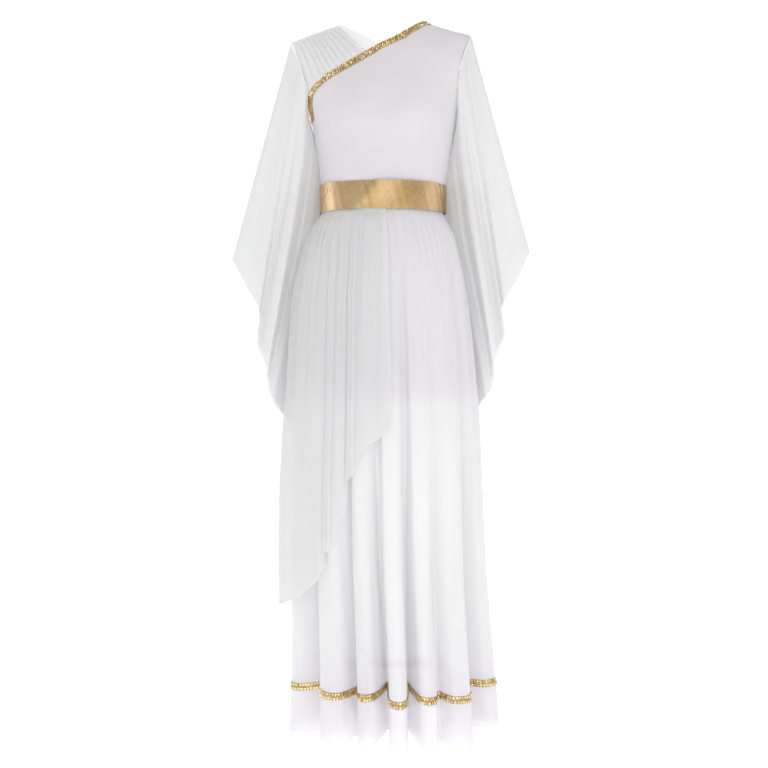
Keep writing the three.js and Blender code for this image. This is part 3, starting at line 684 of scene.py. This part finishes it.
# Longer soft folds that fall from the gathers: where, how wide, how far out, and between what heights.
SKIRT_FOLDS = (
    (11.7, 1.1, 1.4, -400, -900), (16.5, 1.6, -1.1, -480, -1100), (26.6, 1.2, 1.6, -410, -1000),
    (33, 2, -1.3, -520, -1100), (39.5, 1.2, 1.1, -420, -820), (47, 1.4, -1, -560, -1150),
    (52.4, 1.4, 1.6, -400, -1050), (64, 2, 1.2, -430, -900), (80, 2.4, 1.3, -450, -1000),
    (104, 2.2, 1.3, -420, -880), (117, 1.6, -1.1, -500, -1080), (128, 1.4, 1.4, -410, -960),
    (139, 1.8, 1.2, -430, -1100), (151, 1.2, 1.4, -400, -860), (163, 1.6, -1.1, -520, -1000),
    (172, 1.3, 1.6, -410, -1040), (188, 1.5, 1.3, -420, -900), (203, 2, 1.4, -430, -1080),
    (221, 1.6, 1.2, -420, -940), (240, 2, 1.3, -440, -1060), (255, 1.8, 1.2, -430, -900),
    (-80, 2.2, 1.2, -440, -980), (-62, 2, 1.3, -430, -1080), (-45, 1.6, 1.2, -420, -960),
    (-28, 1.4, 1.3, -430, -1040), (-13, 1.2, 1.2, -420, -900),
)


def long_folds(degrees, height):
    """How far the longer folds stand out or sink in at each point."""
    out = np.zeros(np.broadcast(degrees, height).shape)
    for at, wide, deep, top, end in SKIRT_FOLDS:
        shown = smooth(-height, -top, -top + 120) * (1 - smooth(-height, -end - 120, -end + 180))
        out += deep * shown * np.exp(-((degrees - at) / wide) ** 2)
    return out


def skirt_point(degrees, height):
    """A point of the skirt: the form, drawn in by flutes, gathers and longer folds."""
    depth = follow(FOLDS, "degrees", "depth", degrees)
    rise = follow(FOLDS, "degrees", "rise", degrees)
    gather = follow(FULLNESS, "height", "gather", np.maximum(height, GATHERS_FADE))
    gather = gather + GATHERS_SINK * smooth(-height, -BELT_BOTTOM, 400)
    fading = 1 - smooth(-height, -GATHERS_FADE, 800)
    inwards = (follow(FULLNESS, "height", "flute", height) * depth
               + gather * (1.15 - gathers(degrees, height)) * fading
               + GATHERS_SINK * smooth(-height, 400, 460) - long_folds(degrees, height))
    point = form_point(degrees, height, np.maximum(inwards, 0.2))
    point[..., 2] += follow(FULLNESS, "height", "lift", height) * (depth + rise)
    return point


def even_columns(side):
    """Columns of cloth spaced by how much cloth there is at the hem, and a little by angle."""
    start = -90 if side == "front" else 90
    degrees = np.linspace(start, start + 180, 3001)
    hem = skirt_point(degrees, np.full_like(degrees, HEM))
    length = length_along(hem)
    share = 0.5 * length / length[-1] + 0.5 * (degrees - start) / 180
    return share, degrees


COLUMNS = {side: even_columns(side) for side in FACING}
SKIRT_HEIGHTS = named_rows("share height", [
    (0, WAIST), (0.12, -400), (0.3, -520), (0.5, -740), (0.75, -1080), (1, HEM),
])


def apart_at_sides(points, side):
    """The front and the back panel meet at the side seams and stay just clear of each other."""
    points[..., 1] = FACING[side] * np.maximum(FACING[side] * points[..., 1], 0.15)
    return points


def skirt_place(side):
    share, angles = COLUMNS[side]

    def place(u, v):
        degrees = np.interp(u, share, angles)
        height = follow(SKIRT_HEIGHTS, "share", "height", v)
        return apart_at_sides(skirt_point(degrees, height), side)
    return place


for side in FACING:
    panel = lay_cloth(f"skirt_{side}_chiffon", 330, 96, skirt_place(side), 0.55, 1.3, 1, shade_in_folds=0.06)
    finish_piece(panel, soft_chiffon, "chiffon", f"skirt_{side}")

# Hem trim: a narrow tape of gold sequins in two rows with a row of beads between them, sewn round
# the skirt above its hem, in and out of every flute.
HEM_BAND_TOP = -1300
HEM_BAND_WIDE = 14
HEM_BAND_ROWS = (0.22, 0.5, 0.78)
HEM_BEAD_ROW = 1
HEM_SEQUIN_PITCH = 5.8
hem_sequin = model_sequin(5.2)


def hem_band_place(side, out):
    share, angles = COLUMNS[side]

    def place(u, v):
        degrees = np.interp(u, share, angles)
        height = HEM_BAND_TOP - HEM_BAND_WIDE * v
        points = skirt_point(degrees, height)
        beside = skirt_point(degrees + 0.05, height) - skirt_point(degrees - 0.05, height)
        lower = skirt_point(degrees, height - 0.5) - skirt_point(degrees, height + 0.5)
        facing = np.cross(lower, beside)
        facing /= np.maximum(np.linalg.norm(facing, axis=-1, keepdims=True), 1e-9)
        return apart_at_sides(points + facing * out, side)
    return place


for side in FACING:
    place = hem_band_place(side, TAPE_GAP + TAPE)
    tape = lay_cloth(f"hem_tape_{side}", 480, 3, place, TAPE)
    sewn = [tape]
    for k, v in enumerate(HEM_BAND_ROWS):
        small, pitch = (neck_bead, BEAD_PITCH) if k == HEM_BEAD_ROW else (hem_sequin, HEM_SEQUIN_PITCH)
        u = np.linspace(0.002, 0.998, 6000)
        u = sewn_apart(place(u, np.full_like(u, v)), u, pitch)
        frames = surface_frame(place, u, np.full_like(u, v), step=0.0006)
        sewn.append(sew_on(f"hem_row_{side}_{k}", small, frames, lift=0.6, lean=0.26, seed=40 + k))
    tape.data.materials.append(braid_tape)
    for row in sewn[1:]:
        row.data.materials.append(sequin_gold)
    band = join(f"hem_braid_{side}", sewn)
    attach(band, "gold_braid", f"hem_trim_{side}")

# Overlay: a half skirt of the same chiffon from the middle of the front, round the wearer's
# right, to the middle of the back. It hangs in broad folds, and its hem falls in a cascade.
TUCKED_IN = 0.03
OVERLAY_OUT = 2.3
# Round the side: how far the cloth stands out, how far it leans over with height, and where its hem
# is in front and at the back.
OVERLAY = named_rows("degrees proud lean hem backhem", [
    (-90, 20, 0, -1147, -1149), (-88, 20, 0.05, -1147, -1149), (-78, 21, 0.25, -1142, -1153),
    (-66, 20, 0.5, -1131, -1151), (-56, 18, 0.7, -1119, -1138), (-48, 16, 0.85, -1103, -1118),
    (-42, 12, 0.95, -1087, -1094), (-38, 8, 1, -1065, -1066), (-35.5, 2.5, 1, -1042, -1050),
    (-34, 10, 1, -1028, -1030), (-30, 12, 0.85, -1016, -1012), (-26.5, 10, 0.6, -970, -980),
    (-24, 7, 0.45, -952, -955), (-22, 2.5, 0.4, -928, -936), (-20.5, 10, 0.35, -890, -915),
    (-17.5, 13, 0.25, -875, -889), (-15.5, 14, 0.2, -853, -862), (-11, 15, 0.1, -829, -846),
    (-6, 12, 0.03, -815, -830), (-1, 7, 0, -803, -815), (2.5, 3, 0, -797, -806),
])
OVERLAY_LEAN = named_rows("height degrees", [
    (-368, -9), (-388, -8), (-440, -4), (-484, -2.2), (-540, -1.2), (-700, -0.3), (-816, 0),
])
# Narrow soft folds, and then the valley and the crest beside each lap: where round the side, how
# wide, how far out or in, and how far down.
OVERLAY_FOLDS = (
    (-79, 1.6, 1.6, -880), (-71, 1.2, 1.2, -760), (-63, 1.8, 1.8, -980), (-55, 1.1, 1.2, -700),
    (-49, 1.4, 1.8, -860), (-43.5, 1.0, 1.3, -640), (-28.5, 0.9, 1.2, -780), (-25.5, 0.7, 1.0, -560),
    (-13.4, 0.9, 1.2, -620), (-9, 0.8, 1.0, -540), (-4.5, 0.8, 1.1, -600),
    (-36.3, 0.9, -4.0, -1200), (-32.9, 1.3, 5.0, -1200), (-22.6, 0.9, -4.0, -1000),
    (-19.3, 1.3, 5.0, -1000),
)
OVERLAY_GROWTH = named_rows("height share", [
    (-368, 0), (-400, 0.25), (-440, 0.4), (-540, 0.55), (-700, 0.7), (-816, 0.85), (-932, 1), (-1397, 1),
])
# The cloth's columns stand closer at the two laps, where one fold lies over the next.
OVERLAY_COLUMNS = named_rows("share degrees", [
    (0, -90), (0.26, -46), (0.36, -37.5), (0.5, -31.5), (0.6, -24), (0.74, -18.5), (0.86, -9), (1, 2.5),
])
OVERLAY_LAPS = ((-34.4, 1.0, 2.3), (-20.9, 0.9, 2.1))


def overlay_height(v, hem):
    """The first of the cloth is tucked in under the belt, and the rest falls from there to its hem."""
    top = BELT_BOTTOM - 1
    down = np.clip((v - TUCKED_IN) / (1 - TUCKED_IN), 0, 1)
    return np.where(v < TUCKED_IN, WAIST - 1 - 22 * v / TUCKED_IN, top + (hem - top) * down ** 1.3)


def overlay_place(side):
    def place(u, v):
        front = follow(OVERLAY_COLUMNS, "share", "degrees", u if side == "front" else 1 - u)
        hem = follow(OVERLAY, "degrees", "hem" if side == "front" else "backhem", front)
        height = overlay_height(v, hem)
        grown = follow(OVERLAY_GROWTH, "height", "share", height)
        proud = follow(OVERLAY, "degrees", "proud", front) * grown
        for at, wide, deep, end in OVERLAY_FOLDS:
            shown = smooth(-height, 372, 430) * (1 - smooth(-height, -end - 160, -end + 160))
            proud = proud + deep * shown * np.exp(-((front - at) / wide) ** 2)
        proud = np.maximum(proud, 0.3)
        lean = follow(OVERLAY, "degrees", "lean", front)
        turned = front + lean * follow(OVERLAY_LEAN, "height", "degrees", height)
        ridges = 1.5 * smooth(-height, 369, 392) * gathers(turned + 3.3, height)
        for lap, wide, over in OVERLAY_LAPS:
            turned = turned - over * np.exp(-((front - lap) / wide) ** 2) * smooth(-height, 380, 440)
        degrees = turned if side == "front" else -180 - turned
        return apart_at_sides(form_point(degrees, height, -OVERLAY_OUT - proud - ridges), side)
    return place


for side in FACING:
    layer = lay_cloth(f"overlay_{side}_chiffon", 200, 110, overlay_place(side), 0.55, 1.2, 1, shade_in_folds=0.5)
    finish_piece(layer, sheer, "chiffon", f"overlay_{side}")

# Sleeves: each one large piece of chiffon, folded along its outer edge, sewn round the armhole and
# open along its waved hem. It hangs from the shoulder a little behind the side of the gown.
# The hem is given from the outer fold, along 0, to the inner corner, along 1.
SLEEVE_HEM = {
    "right": named_rows("along x height y", [
        (0, -303, -457, 20), (0.13, -276, -508, 14), (0.26, -248, -562, 10), (0.33, -246, -582, 24),
        (0.42, -252, -617, 14), (0.52, -244, -650, 34), (0.6, -231, -684, 22), (0.7, -231, -716, 42),
        (0.78, -223, -738, 40), (0.89, -203, -770, 60), (1, -176, -802, 78),
    ]),
    "left": named_rows("along x height y", [
        (0, 295, -441, 20), (0.12, 275, -486, 14), (0.24, 244, -540, 12), (0.31, 237, -562, 26),
        (0.4, 243, -602, 14), (0.5, 232, -642, 34), (0.58, 221, -675, 24), (0.68, 222, -708, 42),
        (0.77, 209, -730, 40), (0.88, 196, -750, 60), (1, 176, -786, 78),
    ]),
}
ARMHOLE = {
    "right": named_rows("height x", [
        (-26.5, -182.3), (-67, -164.5), (-98, -155), (-126, -148.5), (-150, -147.5), (-170, -144.5),
        (-188, -142.5),
    ]),
    "left": {name: values[3:] for name, values in LEFT_EDGE.items()},
}
# How far the inner part of a sleeve swings in under the arm and back behind the side seam.
SLEEVE_SWING = named_rows("down inwards back", [
    (0, 0, 0), (0.04, 12, 16), (0.09, 26, 30), (0.15, 36, 42), (0.22, 42, 50), (0.4, 40, 56),
    (0.65, 20, 46), (1, 0, 0),
])
BELT_TOP = -313
SEAM_LAP = {"top": 1.8, "right": 3.5, "left": 1.8}
SLEEVE_CLEAR = 3.5
SLEEVE_OPEN = 25
OVERLAY_ROOM = 21
BELT_ROOM = 5.4
FOLD_LINE = 0.055
# Long folds that fan out from the armhole to the hem of each layer: where, how wide and how deep.
SLEEVE_FOLDS = (
    (0.07, 0.03, 1.4), (0.16, 0.04, -1.6), (0.25, 0.022, 1.5), (0.33, 0.035, 2.2), (0.41, 0.03, -1.6),
    (0.49, 0.018, 2.4), (0.57, 0.03, -1.5), (0.65, 0.035, -2.0), (0.72, 0.02, 2.2), (0.81, 0.03, 2.0),
    (0.89, 0.016, -1.8), (0.95, 0.02, 1.6),
)


def push_clear(point, clear):
    """Keeps the sleeve outside the bodice, the belt, the skirt and the overlay."""
    middle, half, front, back = form_at(point[..., 2])
    grown = follow(OVERLAY_GROWTH, "height", "share", point[..., 2])
    over = np.where(point[..., 0] < middle, OVERLAY_ROOM * grown, 0)
    belted = np.where((point[..., 2] < BELT_TOP + 6) & (point[..., 2] > BELT_BOTTOM - 20), BELT_ROOM, 0)
    room = clear + np.maximum(over, belted)
    wide = half + room
    deep = np.where(point[..., 1] < 0, front, back) + room
    reach = np.hypot((point[..., 0] - middle) / wide, point[..., 1] / deep)
    reach = np.where((point[..., 2] > UNDERARM + 20) | (reach > 1), 1, reach)
    moved = point.copy()
    moved[..., 0] = middle + (point[..., 0] - middle) / reach
    moved[..., 1] = point[..., 1] / reach
    return moved


def armhole_point(arm, along, side, lap):
    """A point of the armhole's seam, from the shoulder at 0 to the underarm at 1, over the bodice."""
    rows = ARMHOLE[arm]
    top, bottom = rows["height"][0], rows["height"][-1]
    height = top + (bottom - top) * (1 - np.cos(np.pi * along)) / 2
    x = follow(rows, "height", "x", height)
    at = body_point(x, height, side)
    beside = body_point(np.sign(x) * (np.abs(x) - 1), height, side) - at
    lower = body_point(x, height - 1, side) - at
    out = np.cross(lower, beside)
    out /= np.maximum(np.linalg.norm(out, axis=-1, keepdims=True), 1e-9)
    out *= np.where((out[..., 0] * x) < 0, -1, 1)[..., None]
    at = at + out * lap[..., None]
    at[..., 0] += np.sign(x) * 0.4
    return at


def sleeve_layer(arm, along, side, down):
    """The front or the back layer, from the armhole at down 0 to the hem at down 1."""
    outward = -1 if arm == "right" else 1
    lap = SEAM_LAP["top"] + (SEAM_LAP[arm] - SEAM_LAP["top"]) * smooth(along, 0.3, 0.6)
    top = armhole_point(arm, along, side, lap)
    hem = SLEEVE_HEM[arm]
    apart = SLEEVE_OPEN * np.sin(np.pi * np.clip(along, 0, 1)) ** 0.6 * FACING[side]
    foot = np.stack([follow(hem, "along", "x", along), follow(hem, "along", "y", along) + apart,
                     follow(hem, "along", "height", along)], -1)
    point = top + (foot - top) * down[..., None]
    swing = smooth(along, 0.4, 1)
    point[..., 0] -= outward * swing * follow(SLEEVE_SWING, "down", "inwards", down)
    point[..., 1] += swing * follow(SLEEVE_SWING, "down", "back", down)
    clear = SEAM_LAP[arm] + (SLEEVE_CLEAR - SEAM_LAP[arm]) * np.minimum(1, 10 * down)
    for at, wide, deep in SLEEVE_FOLDS:
        at = at + (0.012 if side == "back" else 0)
        fold = deep * np.exp(-((along - at) / wide) ** 2) * smooth(down, 0.02, 0.35)
        point[..., 1] += FACING[side] * fold
    return push_clear(point, clear)


def sleeve_place(arm):
    """u runs over the front layer to 0.5 and over the back layer to 1, where the two are one fold."""
    def place(u, v):
        if arm == "left":
            u = 1 - u
        down = v ** 1.1
        front = sleeve_layer(arm, np.clip(2 * u, 0, 1), "front", down)
        back = sleeve_layer(arm, np.clip(2 - 2 * u, 0, 1), "back", down)
        fold = sleeve_layer(arm, 0 * u, "front", down)
        back = fold + (back - fold) * smooth(2 - 2 * u, 0, FOLD_LINE)[..., None]
        return np.where((u <= 0.5)[..., None], front, back)
    return place


for arm in ("right", "left"):
    sleeve = lay_cloth(f"sleeve_{arm}_chiffon", 240, 110, sleeve_place(arm), 0.55, 1.2, 1, closed=True,
                       shade_in_folds=0.1)
    finish_piece(sleeve, sheer, "chiffon", f"sleeve_{arm}")

# Belt: a stiff band of gold foil cloth, sewn round the waist over the seam. It is a little
# crushed, with slanting creases towards the sides.
# Its large darker patches are partly the foil's own uneven tone and partly painted shade for its dark
# reflections.
belt_gold = gold("belt_gold", (0.66, 0.48, 0.28), (0.42, 0.27, 0.12), 1100, 0.1, 0.36, 0.4, source="UV")
BELT_OUT = 5.6
# How far the band's top edge leans out, and its bottom edge in, round the waist.
BELT_LEAN = named_rows("degrees out", [
    (-180, 0), (-120, 0.8), (-90, -0.6), (-72, 0.6), (-58, 0.5), (-44, -1.5), (-22, -1.8), (-8, 0.8),
    (14, 1.5), (30, 0.2), (48, -0.5), (64, -0.7), (78, -0.9), (100, 0.6), (140, -0.8), (180, 0),
])
# Slanting creases near each side: where, how wide, how deep, and the slant down the band.
BELT_CREASES = (
    (-72, 1.5, 1.6, 7), (-66, 1.2, 1.2, 9), (-79, 1.8, -1.3, 5), (-58, 1.0, 0.6, 10), (71, 1.4, 1.5, -8),
    (77, 1.3, 1.3, -5), (64, 1.1, 0.8, -9), (130, 2.0, 1.0, 6), (-128, 2.2, 1.0, -6), (168, 1.8, 0.8, 4),
)


def belt_place(u, v):
    degrees = -180 + 360 * u
    height = BELT_TOP + (BELT_BOTTOM - BELT_TOP) * v
    up = 1 - 2 * v
    out = follow(BELT_LEAN, "degrees", "out", degrees - 7 * up) * up
    for at, wide, deep, slant in BELT_CREASES:
        out = out - deep * np.exp(-((degrees - at - slant * up) / wide) ** 2) * (1 - 0.7 * up ** 4)
    turn = np.radians(degrees)
    out += 0.25 * np.sin(turn * 41 + 3 * up) * np.sin(turn * 7)
    point = form_point(degrees, np.full_like(height, WAIST), -BELT_OUT - out)
    point[..., 2] = height
    return point


belt = lay_cloth("belt_foil_band", 420, 16, belt_place, 1.4, closed=True)
finish_piece(belt, belt_gold, "gold_foil", "belt")

# Floor: a plain pale studio floor, well below the hanging hem. It glows a little, so that the
# light from under the gown is as white as the light from the sides.
FLOOR = -1.46
bpy.ops.object.select_all(action="DESELECT")
bpy.ops.mesh.primitive_circle_add(vertices=96, radius=14, fill_type="NGON", location=(0, 0, FLOOR))
floor = bpy.context.object
floor.name = "floor"
pale, _, _, surface = new_material("pale_floor")
set_inputs(surface, {"Base Color": (0.9, 0.9, 0.9, 1), "Roughness": 0.9,
                     "Emission Color": (1, 1, 1, 1), "Emission Strength": 0.5})
floor.data.materials.append(pale)

# Studio: even white light from all round, a broad key light in front and above towards the wearer's
# left, softer ones in front and at both sides, and four weak ones inside the skirt, for the light
# that real chiffon lets through. The backdrop is white.
world = bpy.data.worlds.new("studio")
bpy.context.scene.world = world
world.use_nodes = True
nodes, links = world.node_tree.nodes, world.node_tree.links
backdrop = set_inputs(nodes["Background"], {"Color": (1, 1, 1, 1), "Strength": 0.68})
white = set_inputs(nodes.new("ShaderNodeBackground"), {"Color": (1, 1, 1, 1), "Strength": 1.1})
seen = nodes.new("ShaderNodeLightPath")
either = nodes.new("ShaderNodeMixShader")
links.new(seen.outputs["Is Camera Ray"], either.inputs["Fac"])
links.new(backdrop.outputs["Background"], either.inputs[1])
links.new(white.outputs["Background"], either.inputs[2])
links.new(either.outputs["Shader"], nodes["World Output"].inputs["Surface"])


def soft_light(name, place, aim, size, power):
    bpy.ops.object.light_add(type="AREA", location=place)
    light = bpy.context.object
    light.name = name
    light.data.shape = "DISK"
    light.data.size = size
    light.data.energy = power
    light.rotation_euler = (Vector(aim) - Vector(place)).to_track_quat("-Z", "Y").to_euler()
    light.visible_camera = False


soft_light("key_light", (1.1, -3.0, 1.3), (0, 0, -0.45), 1.8, 27)
soft_light("front_light", (-0.3, -3.6, -0.4), (0, 0, -0.7), 2.2, 13)
soft_light("right_light", (-3.1, 0.8, 0.0), (0, 0, -0.65), 1.8, 15)
soft_light("left_light", (3.2, -0.2, 0.0), (0, 0, -0.65), 1.8, 6)
for height in (-0.88, -1.03, -1.18, -1.33):
    bpy.ops.object.light_add(type="POINT", location=(0.01, 0, height))
    inner = bpy.context.object
    inner.data.shadow_soft_size = 0.06
    inner.data.energy = 0.27
bpy.context.scene.view_settings.view_transform = "Standard"
bpy.context.scene.cycles.transparent_max_bounces = 32
bpy.context.scene.cycles.max_bounces = 20
bpy.context.scene.cycles.diffuse_bounces = 10

# Camera: level, in front of the gown and at the height of its hips, so far off that the gown fills
# the frame from top to bottom as in the photograph.
bpy.ops.object.camera_add(location=(0.002, -2.8, -0.708), rotation=(math.pi / 2, 0, 0))
camera = bpy.context.object
camera.name = "camera"
camera.data.lens = 65.6
camera.data.sensor_width = 36
bpy.context.scene.camera = camera
